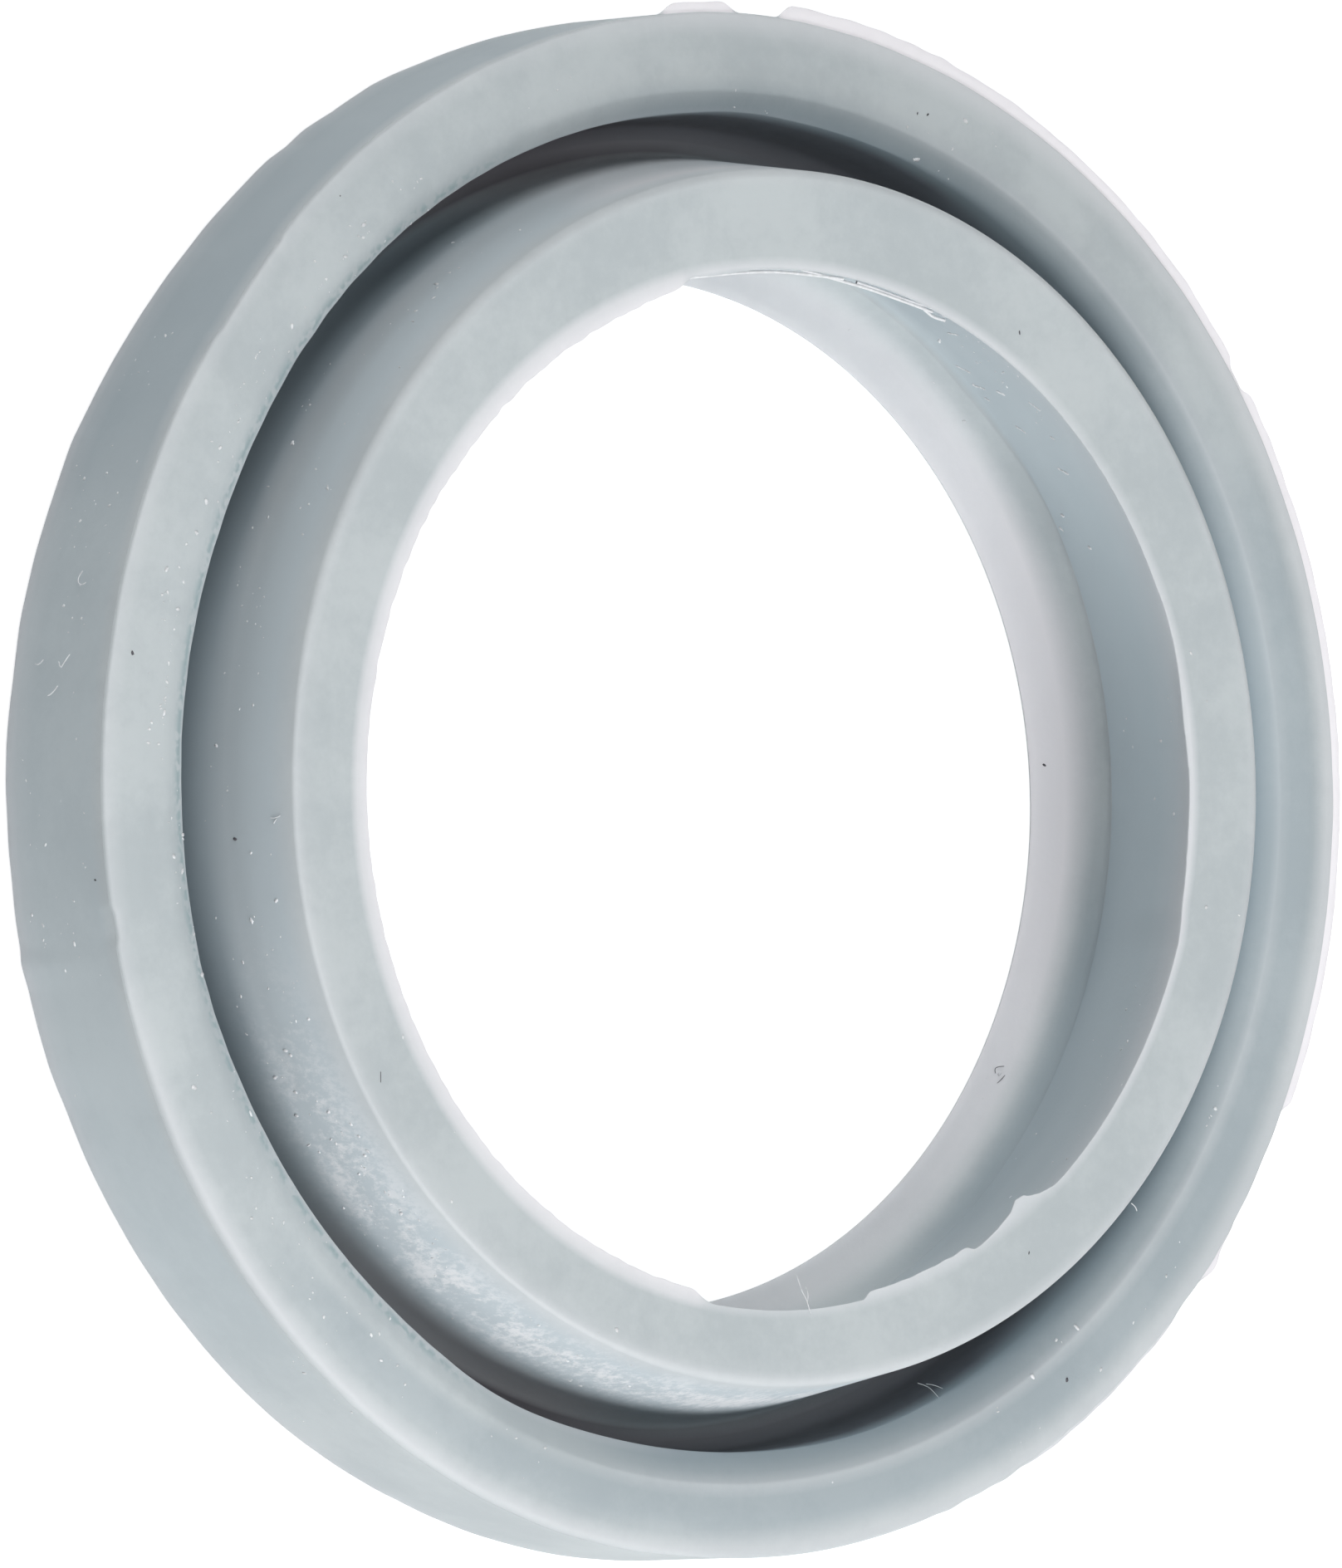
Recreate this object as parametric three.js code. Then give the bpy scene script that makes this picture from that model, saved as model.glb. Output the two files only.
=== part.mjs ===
// Flush valve seal: one moulded silicone ring, turned about the Z axis.
// The flat back lies at Z = 0 and the taller inner lip points up.
// Millimetres throughout.

import * as THREE from 'three';

// Driving dimensions of the body and the outer lip
const OUTER_DIAMETER = 64;
const OUTER_LIP_HEIGHT = 7.25;
const OUTER_LIP_FACE_WIDTH = 3.1;
const OUTER_FACE_SHOULDER = 1.5;
const OUTER_FACE_FALL = 0.3;
const BEVEL_WIDTH = 1.15;
const BEVEL_DEPTH = 0.62;

// Driving dimensions of the groove between the lips
const GROOVE_WIDTH = 1.9;
const GROOVE_DRAFT = 0.15;
const BASE_THICKNESS = 2.2;

// Driving dimensions of the inner lip
const INNER_LIP_HEIGHT = 10.8;
const INNER_LIP_FACE_WIDTH = 3.35;
const INNER_LIP_BORE_DIAMETER = 43.5;

// Driving dimensions of the bore behind the inner lip
const BACK_BORE_DIAMETER = 43;
const SKIRT_EDGE_DIAMETER = 47.2;
const SKIRT_EDGE_HEIGHT = 2.6;
const UNDERCUT_DEPTH = 0.35;
const UNDERCUT_HEIGHT = 2.15;
const FLANGE_HOLLOW_DIAMETER = 45.8;
const FLANGE_HOLLOW_HEIGHT = 0.5;
const FLANGE_EDGE_THICKNESS = 0.2;

// Rounding of the edges
const FLANGE_EDGE_ROUND = 0.08;
const FLANGE_HOLLOW_ROUND = 1.7;
const BACK_EDGE_ROUND = 0.25;
const OUTER_EDGE_ROUND = 0.3;
const SHOULDER_ROUND = 4;
const CREASE_ROUND = 0.25;
const LIP_EDGE_ROUND = 0.08;
const GROOVE_FLOOR_ROUND = 0.8;
const INNER_LIP_OUTER_ROUND = 0.4;
const INNER_LIP_BORE_ROUND = 0.12;
const SKIRT_EDGE_ROUND = 0.1;
const UNDERCUT_ROUND = 0.3;

// Fineness of the facets
const TURN_STEPS = 96;
const ARC_STEP = THREE.MathUtils.degToRad(40);

// A corner of the section: distance from the axis, height and rounding
function corner(radius, height, round) {
  return { point: new THREE.Vector2(radius, height), round };
}

// The arc that rounds one corner, touching the straight lines to both neighbours
function roundedCorner(before, here, after) {
  const toBefore = before.point.clone().sub(here.point);
  const toAfter = after.point.clone().sub(here.point);
  const room = Math.min(toBefore.length(), toAfter.length()) / 2;
  toBefore.normalize();
  toAfter.normalize();

  const halfAngle = Math.acos(toBefore.dot(toAfter)) / 2;
  const reach = Math.min(here.round / Math.tan(halfAngle), room);
  const radius = reach * Math.tan(halfAngle);
  const toCentre = toBefore.clone().add(toAfter).normalize();
  const centre = here.point.clone().addScaledVector(toCentre, radius / Math.sin(halfAngle));

  const first = here.point.clone().addScaledVector(toBefore, reach).sub(centre);
  const turn = Math.PI - 2 * halfAngle;
  const side = Math.sign(toAfter.cross(toBefore));
  const steps = Math.max(1, Math.ceil(turn / ARC_STEP));
  const arc = [];
  for (let step = 0; step <= steps; step++) {
    const angle = side * turn * step / steps;
    arc.push(first.clone().rotateAround(new THREE.Vector2(), angle).add(centre));
  }
  return arc;
}

// The corners of the ring's section, from the back of the bore outwards and round
function sectionCorners() {
  const outer = OUTER_DIAMETER / 2;
  const crease = outer - OUTER_LIP_FACE_WIDTH;
  const lipEdge = crease - BEVEL_WIDTH;
  const backBore = BACK_BORE_DIAMETER / 2;
  const innerLipBore = INNER_LIP_BORE_DIAMETER / 2;
  const innerLipOuter = innerLipBore + INNER_LIP_FACE_WIDTH;
  const skirtEdge = SKIRT_EDGE_DIAMETER / 2;
  const hollow = FLANGE_HOLLOW_DIAMETER / 2;

  const outerEdgeHeight = OUTER_LIP_HEIGHT - OUTER_FACE_FALL;
  const lipEdgeHeight = OUTER_LIP_HEIGHT - BEVEL_DEPTH;

  return [
    corner(backBore, 0, FLANGE_EDGE_ROUND),
    corner(outer, 0, BACK_EDGE_ROUND),
    corner(outer, outerEdgeHeight, OUTER_EDGE_ROUND),
    corner(crease + OUTER_FACE_SHOULDER, OUTER_LIP_HEIGHT, SHOULDER_ROUND),
    corner(crease, OUTER_LIP_HEIGHT, CREASE_ROUND),
    corner(lipEdge, lipEdgeHeight, LIP_EDGE_ROUND),
    corner(lipEdge - GROOVE_DRAFT, BASE_THICKNESS, GROOVE_FLOOR_ROUND),
    corner(lipEdge - GROOVE_WIDTH + GROOVE_DRAFT, BASE_THICKNESS, GROOVE_FLOOR_ROUND),
    corner(innerLipOuter, INNER_LIP_HEIGHT, INNER_LIP_OUTER_ROUND),
    corner(innerLipBore, INNER_LIP_HEIGHT, INNER_LIP_BORE_ROUND),
    corner(skirtEdge, SKIRT_EDGE_HEIGHT, SKIRT_EDGE_ROUND),
    corner(skirtEdge + UNDERCUT_DEPTH, UNDERCUT_HEIGHT, UNDERCUT_ROUND),
    corner(hollow, FLANGE_HOLLOW_HEIGHT, FLANGE_HOLLOW_ROUND),
    corner(backBore, FLANGE_EDGE_THICKNESS, FLANGE_EDGE_ROUND),
  ];
}

// The whole section as one closed outline
function sectionOutline() {
  const corners = sectionCorners();
  const outline = corners.flatMap((here, index) => {
    const before = corners[(index + corners.length - 1) % corners.length];
    const after = corners[(index + 1) % corners.length];
    return roundedCorner(before, here, after);
  });
  outline.push(outline[0].clone());
  return outline;
}

// Grey silicone rubber, matt from the mould
function siliconeMaterial() {
  return new THREE.MeshStandardMaterial({ color: 0xb6bec2, roughness: 0.6, metalness: 0 });
}

function sealRing() {
  const geometry = new THREE.LatheGeometry(sectionOutline(), TURN_STEPS);
  geometry.rotateX(Math.PI / 2);
  const ring = new THREE.Mesh(geometry, siliconeMaterial());
  ring.name = 'seal_ring';
  return ring;
}

const group = new THREE.Group();
group.add(sealRing());

export default group;
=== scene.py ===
"""Flush valve seal: the moulded silicone ring as it came from the mould, on a pale floor."""

import math

import bmesh
import bpy
import numpy as np
from mathutils import Matrix, Vector


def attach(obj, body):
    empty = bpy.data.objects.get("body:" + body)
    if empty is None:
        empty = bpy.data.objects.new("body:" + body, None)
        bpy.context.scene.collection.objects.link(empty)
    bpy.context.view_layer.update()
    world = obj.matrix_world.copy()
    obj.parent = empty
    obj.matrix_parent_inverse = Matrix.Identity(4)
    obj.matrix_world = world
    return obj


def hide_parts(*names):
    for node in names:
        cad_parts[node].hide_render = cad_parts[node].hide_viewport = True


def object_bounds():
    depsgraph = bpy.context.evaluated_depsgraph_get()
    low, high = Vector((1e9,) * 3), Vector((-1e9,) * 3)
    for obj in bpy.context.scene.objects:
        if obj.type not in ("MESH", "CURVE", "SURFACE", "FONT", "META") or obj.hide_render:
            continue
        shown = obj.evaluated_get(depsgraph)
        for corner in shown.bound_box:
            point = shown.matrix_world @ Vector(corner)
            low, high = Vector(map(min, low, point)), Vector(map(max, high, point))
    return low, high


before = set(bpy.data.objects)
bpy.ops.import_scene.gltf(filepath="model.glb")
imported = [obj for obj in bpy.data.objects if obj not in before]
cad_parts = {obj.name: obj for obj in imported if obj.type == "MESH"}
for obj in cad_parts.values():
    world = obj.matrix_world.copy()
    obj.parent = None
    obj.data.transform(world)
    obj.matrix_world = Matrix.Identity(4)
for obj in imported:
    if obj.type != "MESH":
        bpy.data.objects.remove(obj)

bl_info = {
    "name": "Flush valve seal",
    "version": (1, 0, 0),
    "blender": (4, 5, 0),
    "location": "View3D > Sidebar > Seal",
    "description": "Models a moulded flush valve seal with its flash, nicks, dust and fibres",
    "category": "Add Mesh",
}

MM = 0.001
BODY = "root"
NODE = "seal_ring"

CAD_LOW, CAD_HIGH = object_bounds()
RING_RADIUS = (CAD_HIGH.x - CAD_LOW.x) / 2
RING_HEIGHT = CAD_HIGH.z - CAD_LOW.z
FLOOR_GAP = 0.02 * MM


# Sizes and colours that a user may change

def length(name, description, default):
    return bpy.props.FloatProperty(
        name=name, description=description, default=default, min=0.0,
        precision=5, unit="LENGTH", subtype="DISTANCE",
    )


def colour(name, description, default):
    return bpy.props.FloatVectorProperty(
        name=name, description=description, default=default,
        size=3, min=0.0, max=1.0, subtype="COLOR",
    )


def amount(name, description, default, highest=1.0):
    return bpy.props.FloatProperty(
        name=name, description=description, default=default, min=0.0, max=highest,
    )


def turned(name, description, degrees):
    return bpy.props.FloatProperty(
        name=name, description=description, default=math.radians(degrees), unit="ROTATION",
    )


class SealRingSizes(bpy.types.PropertyGroup):
    """Sizes of the ring's section"""

    outer_radius: length("Outer radius", "Axis to the outer wall", RING_RADIUS)
    outer_lip_height: length("Outer lip height", "Back face to the outer lip's crest", 7.25 * MM)
    outer_face_width: length("Outer face width", "Outer wall to the crease of the bevel", 3.1 * MM)
    outer_shoulder: length("Outer shoulder", "Crease to where the face falls away", 1.5 * MM)
    outer_fall: length("Outer fall", "Drop of the face at the outer wall", 0.3 * MM)
    bevel_width: length("Bevel width", "Crease to the lip's sharp edge", 1.15 * MM)
    bevel_depth: length("Bevel depth", "Drop of the bevel to the sharp edge", 0.62 * MM)
    groove_width: length("Groove width", "Between the two lips at the floor", 1.9 * MM)
    groove_draft: length("Groove draft", "Lean of each groove wall", 0.15 * MM)
    base_thickness: length("Base thickness", "Back face to the groove's floor", 2.2 * MM)
    inner_lip_height: length("Inner lip height", "Back face to the inner lip's face", RING_HEIGHT)
    inner_face_width: length("Inner face width", "Width of the inner lip's face", 3.35 * MM)
    inner_lip_bore: length("Inner lip bore", "Axis to the inner lip's bore edge", 21.75 * MM)
    back_bore: length("Back bore", "Axis to the bore edge of the back", 21.5 * MM)
    skirt_edge: length("Skirt edge radius", "Axis to the foot of the bore wall", 23.6 * MM)
    skirt_height: length("Skirt edge height", "Back face to the foot of the bore wall", 2.6 * MM)
    undercut_depth: length("Undercut depth", "Recess behind the bore wall's foot", 0.35 * MM)
    undercut_height: length("Undercut height", "Back face to the undercut", 2.15 * MM)
    hollow_radius: length("Hollow radius", "Axis to the bend of the flange's hollow", 23.15 * MM)
    hollow_height: length("Hollow height", "Back face to the bend of the hollow", 0.45 * MM)
    thin_edge: length("Thin edge", "Thickness of the flange's thin edge", 0.12 * MM)
    film: length("Flash thickness", "Thickness of the films of moulding flash", 0.07 * MM)


class SealRingFinish(bpy.types.PropertyGroup):
    """Colours and relief of the silicone, and the colours of its painted light and shade"""

    silicone: colour("Silicone", "Grey of the silicone", (0.475, 0.521, 0.539))
    pale: colour("Pale silicone", "Grey where the moulding is cloudy", (0.545, 0.589, 0.603))
    # The next colour is painted shade: a cooler, lighter grey for the walls in shade.
    shade_tint: colour("Cool silicone", "Grey of the walls that face one another", (0.52, 0.608, 0.653))
    # The next colour is painted shade: the darker grey where shade falls on the ring.
    shaded: colour("Deep silicone", "Grey where the moulding looks darker", (0.235, 0.305, 0.352))
    worn: colour("Worn silicone", "Grey of the outer lip's rubbed edge", (0.33, 0.42, 0.44))
    # The next colour is the flash's own pale colour, and also painted glow on the back's thin lip.
    flash: colour("Flash", "Thin moulding flash that lets light through", (0.90, 0.868, 0.895))
    # The next colour is painted highlight, for the paler thin edges of the lips.
    edge: colour("Edge", "Thin pale edges of the lips", (0.70, 0.715, 0.74))
    dust: colour("Dust", "Mould powder and dust", (0.86, 0.87, 0.89))
    # The next colour is the dark bits' own colour, and also the painted shade at the bottom of the
    # groove.
    grime_and_groove_shade: colour("Grime", "Dark bits and the deep groove", (0.125, 0.12, 0.135))
    roughness: amount("Roughness", "Roughness of the silicone", 0.56)
    grain: length("Grain", "Height of the fine moulding grain", 0.02 * MM)
    translucency: amount("Translucency", "How far light soaks into the silicone", 0.22)


class SealStage(bpy.types.PropertyGroup):
    """Camera, light and floor"""

    distance: length("Camera distance", "Camera to the ring", 1.6)
    floor_size: length("Floor size", "Side of the square floor", 6.0)
    key_light: amount("Key light", "Power of the main softbox in watts", 8.6, 100.0)
    key_turn: turned("Key turn", "Turn of the main softbox about the ring's axis", 258.0)
    key_rise: turned("Key rise", "Height of the main softbox above the floor", 30.0)
    far_light: amount("Far light", "Power of the softbox on the far side in watts", 4.2, 100.0)
    far_turn: turned("Far turn", "Turn of the far softbox about the ring's axis", 108.0)
    far_rise: turned("Far rise", "Height of the far softbox above the floor", 36.0)
    top_light: amount("Top light", "Power of the softbox overhead in watts", 2.9, 100.0)
    right_light: amount("Right light", "Power of the softbox on the right in watts", 1.2, 100.0)
    sky: amount("Sky", "Brightness of the surrounding light", 0.10, 10.0)


# Shapes along the turn of the ring, all in degrees

TURN_STEPS = 1100


def turn_angles():
    return np.linspace(0.0, 360.0, TURN_STEPS, endpoint=False)


def apart(angles, middle):
    """Signed distance round the ring from the middle to each angle."""
    return (angles - middle + 180.0) % 360.0 - 180.0


def hump(angles, middle, width):
    """A smooth hump of height 1."""
    return np.exp(-((apart(angles, middle) / width) ** 2))


def stretch(angles, first, last, soft=1.0):
    """1 from the first angle to the last, going counter-clockwise, with soft ends."""
    half = ((last - first) % 360.0) / 2
    inside = half - np.abs(apart(angles, first + half))
    share = np.clip(inside / soft + 0.5, 0.0, 1.0)
    return share * share * (3 - 2 * share)


def ripple(angles, seed, lowest, highest):
    """A seeded sum of waves between -1 and 1, from the lowest to the highest number per turn."""
    source = np.random.default_rng(seed)
    waves = np.arange(lowest, highest + 1)
    phases = source.uniform(0.0, 2 * math.pi, len(waves))
    sizes = source.uniform(0.4, 1.0, len(waves))
    turns = np.radians(angles)[:, None] * waves
    total = (sizes * np.sin(turns + phases)).sum(axis=1)
    return total / np.abs(total).max()


def warped(angles, *waves):
    """Slow waves, each with its size in millimetres, number per turn and the angle of a crest."""
    waves = [size * np.cos(np.radians(count * (angles - crest))) for size, count, crest in waves]
    return sum(waves) * MM


def humps(angles, *rows):
    """Humps, each with its height in millimetres, middle and width."""
    return sum(height * hump(angles, middle, width) for height, middle, width in rows) * MM


def films(angles, *rows):
    """Films of flash, each with its width in millimetres, first angle, last angle and softness."""
    return sum(width * stretch(angles, first, last, soft) for width, first, last, soft in rows) * MM


def torn(angles, *points):
    """A torn outline through points, each with its angle and its width in millimetres."""
    turns, widths = zip(*points)
    return np.interp(angles, turns, widths, left=0.0, right=0.0) * MM


def above(values, start, width, most=1.0):
    """0 up to the start, then rising over the width to the most. Both are in millimetres."""
    return np.clip((values - start * MM) / (width * MM), 0, most)


def below(values, start, width, most=1.0):
    """0 down to the start, then rising over the width to the most. Both are in millimetres."""
    return np.clip((start * MM - values) / (width * MM), 0, most)


# The ring's section at every angle

def evenly(parts):
    """Shares of a run that cut it into equal parts."""
    return tuple(step / parts for step in range(1, parts))


def lengths(places):
    return np.linalg.norm(places, axis=-1, keepdims=True)


def line_at(radius, height):
    """The places of a line round the ring at a radius and a height."""
    return np.stack(np.broadcast_arrays(radius, height), axis=1)


class Section:
    """The closed outline of the ring, as corners that are rounded and joined by straight runs."""

    ROOM_BY_ROUNDED = 0.45
    ROOM_BY_SHARP = 0.95

    def __init__(self, angles):
        self.angles = angles
        self.corners = []

    def corner(self, wall, radius, height, rounding=0.0, steps=0, run=()):
        """Adds a corner and names the wall after it. The run holds shares of the wall's length."""
        place = np.stack(np.broadcast_arrays(radius, height, self.angles)[:2], axis=1).astype(float)
        rounding = np.broadcast_to(rounding, self.angles.shape)[:, None]
        self.corners.append((place, rounding, steps, run, wall))
        return place

    def outline(self):
        """Places of the section's points by angle and step, with each step's wall and sharpness."""
        columns = []
        walls = []
        sharp = []
        count = len(self.corners)
        arcs = [self.rounded(index) for index in range(count)]
        for index in range(count):
            run, wall = self.corners[index][3:]
            arc = arcs[index]
            start, end = arc[-1], arcs[(index + 1) % count][0]
            along = [start + (end - start) * share for share in run]
            columns.extend(arc + along)
            walls.extend([wall] * (len(arc) + len(along)))
            sharp.extend([len(arc) == 1] + [False] * (len(arc) + len(along) - 1))
        return np.stack(columns, axis=1), np.array(walls), np.array(sharp)

    def room(self, index, away):
        """The longest reach that a rounding may take on its way to the next corner."""
        other = self.corners[(index + away) % len(self.corners)]
        here = self.corners[index][0]
        share = self.ROOM_BY_ROUNDED if other[2] else self.ROOM_BY_SHARP
        return lengths(other[0] - here) * share

    def rounded(self, index):
        """The arc that rounds one corner, touching both runs."""
        here, rounding, steps = self.corners[index][:3]
        if not steps:
            return [here]
        back = self.corners[index - 1][0] - here
        ahead = self.corners[(index + 1) % len(self.corners)][0] - here
        room = np.minimum(self.room(index, -1), self.room(index, 1))
        back, ahead = back / lengths(back), ahead / lengths(ahead)
        half = np.arccos(np.clip((back * ahead).sum(axis=1, keepdims=True), -1, 1)) / 2
        reach = np.minimum(rounding / np.tan(half), room)
        radius = reach * np.tan(half)
        middle = back + ahead
        centre = here + middle / lengths(middle) * radius / np.sin(half)
        first, last = here + back * reach - centre, here + ahead * reach - centre
        turn = math.pi - 2 * half
        arc = []
        for step in range(steps + 1):
            share = step / steps
            swing = (first * np.sin((1 - share) * turn) + last * np.sin(share * turn)) / np.sin(turn)
            arc.append(centre + swing)
        return arc


class PaintedHighlight:
    """An edge of the ring with a painted highlight on its walls, paler at the edge and fading to
    nothing at its reach.
    """

    def __init__(self, places, reach, strength, *walls):
        self.places = places
        self.reach = np.broadcast_to(reach, len(places))[:, None]
        self.strength = np.broadcast_to(strength, len(places))[:, None]
        self.walls = walls

    def mark(self, outline, walls):
        away = lengths(outline - self.places[:, None, :])[..., 0]
        near = np.clip(1 - away / self.reach, 0, 1)
        return self.strength * near * np.isin(walls, self.walls)


# What the mould and handling left on this ring

def inner_flash_width(angles):
    """Film of flash left round the inner lip's bore edge, torn on one side."""
    ragged = 1 + 0.09 * ripple(angles, seed=11, lowest=30, highest=170)
    width = films(
        angles,
        (0.05, 0, 359.9, 1), (0.44, 101, 256, 4), (0.12, 108, 142, 8),
        (0.06, 20, 90, 4), (0.14, 91, 98, 3), (0.27, 279, 294.5, 1.2),
    )
    width = width + humps(angles, (0.20, 5, 6), (0.12, 353, 6))
    tongue = torn(
        angles,
        (296, 0), (298.8, 0.13), (301.4, 0.33), (302.7, 0.61),
        (304, 0.53), (304.5, 0.35), (306, 0.12), (308, 0),
    )
    return width * ragged + tongue


def outer_flash_width(angles):
    """Film of flash left on the outer lip's front edge, torn off in places."""
    ragged = 1 + 0.08 * ripple(angles, seed=12, lowest=25, highest=140)
    width = films(
        angles,
        (0.44, 333.6, 81.6, 1.6), (0.05, 38, 81.6, 1.6), (0.06, 57, 81.6, 1.6),
        (0.05, 66, 81.3, 1.6), (-0.28, 29, 31.6, 1), (0.43, 86.5, 92.5, 1.8),
        (0.12, 318.4, 324, 2), (0.14, 297, 315, 4),
    )
    width = width + humps(angles, (0.22, 319.9, 1.2))
    return np.maximum(width, 0.012 * MM) * ragged


def rim_rounding(angles):
    """Rounding of the outer lip's outer edge, softer where the ring was trimmed and handled."""
    return (0.14 + 0.22 * stretch(angles, 200, 262, 20) + 0.12 * stretch(angles, 284, 338, 16)) * MM


def outer_wall_lines(outer, angles):
    """Radii of the outer wall at the back and at the front, uneven from moulding and trimming."""
    back = outer + 0.015 * MM * ripple(angles, seed=21, lowest=30, highest=90) + torn(
        angles,
        (92, 0), (98, -0.10), (107, -0.16), (112, -0.10), (116, -0.24), (119, -0.18), (121, -0.28),
        (123, -0.23), (126, -0.32), (135, -0.42), (142, -0.38), (148, -0.30), (151, -0.19),
        (156, -0.23), (160, -0.16), (166, -0.09), (170, -0.12), (175, 0), (184, -0.03), (190, 0.06),
        (191, 0.16), (193, 0.06), (199, 0.08), (202, 0), (232, 0.02), (245, -0.08), (262, 0),
    )
    front = outer + 0.02 * MM * ripple(angles, seed=22, lowest=8, highest=60)
    front = front + humps(
        angles,
        (0.12, 90, 18), (0.13, 322, 16), (0.10, 296, 12),
        (-0.07, 266, 8), (-0.16, 139, 8), (-0.08, 160, 25),
    )
    ragged = 0.05 * MM * stretch(angles, 286, 332, 8)
    return back, front + ragged * ripple(angles, seed=25, lowest=25, highest=140)


def crease_radius(sizes, angles):
    """Radius of the crease between the outer lip's face and its bevel."""
    waves = ripple(angles, seed=23, lowest=2, highest=9)
    return sizes.outer_radius - sizes.outer_face_width - 0.03 * MM * waves


def lip_edge_radius(sizes, crease, left, angles):
    """Radius of the outer lip's thin edge over the groove, ragged on the left."""
    edge = crease - sizes.bevel_width + warped(angles, (0.22, 1, 85))
    edge = edge + humps(
        angles, (-0.17, 150, 14), (0.14, 194, 9), (0.24, 243, 9), (0.16, 283, 12), (0.08, 85, 5),
    )
    edge = edge - 0.2 * MM * left * np.cos(np.radians(angles))
    return edge + 0.03 * MM * left * ripple(angles, seed=24, lowest=20, highest=110)


def inner_lip_radii(sizes, angles):
    """Radii of the inner lip's bore edge and outer edge, a little out of round."""
    bore = sizes.inner_lip_bore + warped(angles, (0.24, 1, 223), (0.09, 2, 30)) - 0.09 * MM
    bore = bore + films(angles, (0.2, 307, 343, 6))
    outer = sizes.inner_lip_bore + sizes.inner_face_width
    outer = outer + warped(angles, (0.20, 1, 81), (0.12, 3, 78), (0.08, 2, 63))
    return bore, outer


def add_outer_film(section, front, top, thickness):
    """Adds the film of flash that stands out from the outer wall's front edge."""
    edge, corner = front + outer_flash_width(section.angles), section.corner
    corner("outer_flash", front, top - thickness)
    corner("outer_flash", edge, top - thickness * 0.7)
    corner("outer_flash", edge, top)
    corner("outer_flash", front, top)
    corner("rim", front, top + 0.02 * MM)


def add_outer_lip(section, sizes):
    """Adds the outer wall, its film, the face and the bevel, and gives their edges' lines."""
    angles, corner = section.angles, section.corner
    left, right = stretch(angles, 108, 240, 30), stretch(angles, 300, 60, 26)
    back, front = outer_wall_lines(sizes.outer_radius, angles)
    crease = crease_radius(sizes, angles)
    crest = sizes.outer_lip_height
    rim = crest - sizes.outer_fall
    rounding = rim_rounding(angles)

    back_edge = corner("outer_wall", back, 0.0, 0.35 * MM, 3, (0.1, 0.3, 0.6))
    corner("outer_wall", front, rim - 1.0 * MM, 1.0 * MM, 1)
    rim_line = line_at(front - 0.2 * MM, rim)
    front = front + films(angles, (-0.09, 133, 142.2, 0.6), (-0.13, 187.2, 189.6, 0.8))
    add_outer_film(section, front, rim - 1.05 * rounding, sizes.film)
    corner("outer_face", front, rim, rounding, 4, (0.3, 0.7))
    corner("outer_face", crease + sizes.outer_shoulder, crest, 4 * MM, 3, evenly(2))
    corner("bevel", crease, crest, (0.35 + 1.3 * left) * MM, 3, (0.35, 0.7))

    edge = lip_edge_radius(sizes, crease, left, angles)
    edge_height = crest - sizes.bevel_depth + 0.27 * MM * left
    edge_rounding = (0.08 + 0.9 * right) * MM
    lip_edge = corner("groove", edge, edge_height, edge_rounding, 3, evenly(3))
    return {"back": back_edge, "rim": rim_line, "crease": line_at(crease, crest), "lip": lip_edge}


def add_groove_floor(section, sizes):
    """Adds the groove's rounded floor, which is narrowed at two places."""
    angles, corner = section.angles, section.corner
    outer = crease_radius(sizes, angles) - sizes.bevel_width - sizes.groove_draft
    inner = outer - sizes.groove_width + 2 * sizes.groove_draft
    inner = inner + 0.22 * MM + humps(angles, (0.26, 266, 14), (0.18, 88, 10))
    rounding = 0.8 * MM
    corner("groove", outer, sizes.base_thickness, rounding, 2)
    corner("inner_wall", inner, sizes.base_thickness, rounding, 2, evenly(6))


def add_inner_lip(section, sizes):
    """Adds the inner lip, the film inside it and its bore wall, and gives their edges' lines."""
    angles, corner = section.angles, section.corner
    top = sizes.inner_lip_height
    bore, outer = inner_lip_radii(sizes, angles)
    film = bore - inner_flash_width(angles)
    rounding = (0.4 - 0.2 * stretch(angles, 165, 250, 20)) * MM
    face_edge = corner("inner_face", outer, top, rounding, 4, (0.1, 0.35, 0.65, 0.88))
    bore_edge = corner("inner_flash", bore, top)
    film_edge = corner("inner_flash", film, top)
    corner("inner_flash", film, top - sizes.film)
    corner("bore_wall", bore, top - 0.16 * MM, 0.08 * MM, 1, evenly(5))
    return {"face": face_edge, "bore": bore_edge, "film": film_edge}


def add_skirt(section, sizes):
    """Adds the bore wall's foot, softer at the far end, the undercut and the flange's hollow."""
    angles, corner = section.angles, section.corner
    soft = stretch(angles, 34, 150, 20)
    foot_rounding = (0.08 + 1.5 * soft) * MM
    undercut = sizes.skirt_edge + sizes.undercut_depth * (1 - 0.8 * soft)
    undercut_height = sizes.undercut_height - 0.5 * MM * soft
    corner("undercut", sizes.skirt_edge, sizes.skirt_height, foot_rounding, 3)
    corner("flange", undercut, undercut_height, 0.3 * MM, 2, evenly(3))
    corner("flange", sizes.hollow_radius, sizes.hollow_height, 1.7 * MM, 3, evenly(3))


def ring_section(sizes, angles):
    """The ring's section, as wavy and torn as the real moulding, and the lines of its edges."""
    section = Section(angles)
    corner = section.corner
    back_bore = sizes.back_bore + warped(angles, (0.135, 1, 241), (0.15, 2, 113)) - 0.1 * MM
    rounding = 0.04 * MM
    corner("back", back_bore, 0.0, rounding, 1, evenly(3))
    lines = add_outer_lip(section, sizes)
    add_groove_floor(section, sizes)
    lines.update(add_inner_lip(section, sizes))
    add_skirt(section, sizes)
    corner("flange", back_bore, sizes.thin_edge, rounding, 1)
    return section, lines


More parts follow.
